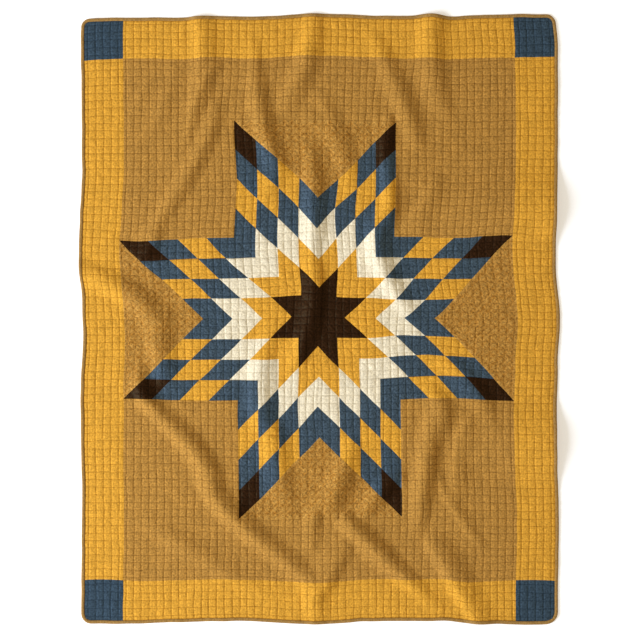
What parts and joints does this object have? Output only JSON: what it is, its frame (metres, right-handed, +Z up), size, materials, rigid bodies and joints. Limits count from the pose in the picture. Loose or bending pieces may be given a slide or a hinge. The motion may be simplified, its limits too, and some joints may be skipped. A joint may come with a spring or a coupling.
{
  "type": "star quilt blanket",
  "caption": "Pieced and quilted cotton throw lying face up in soft folds, with a star field, plain borders, corner squares and a narrow binding; it covers a bed, a seat or a floor.",
  "frame": {"origin": "on the floor under the middle of the quilt's outline box", "axes": "+X to the right as the quilt is seen, +Y along its length towards the top border, +Z up out of its face"},
  "size_m": [1.4084, 1.7918, 0.0268],
  "materials": {
    "tan_cotton": "washed plain-weave cotton, quilted",
    "gold_cotton": "washed plain-weave cotton, quilted",
    "blue_cotton": "washed plain-weave cotton, quilted",
    "binding_cotton": "washed plain-weave cotton, folded strip"
  },
  "bodies": {
    "root": {"field": "tan_cotton", "border_top": "gold_cotton", "border_bottom": "gold_cotton", "border_left": "gold_cotton", "border_right": "gold_cotton", "corner_top_left": "blue_cotton", "corner_top_right": "blue_cotton", "corner_bottom_left": "blue_cotton", "corner_bottom_right": "blue_cotton", "binding": "binding_cotton"}
  },
  "joints": []
}
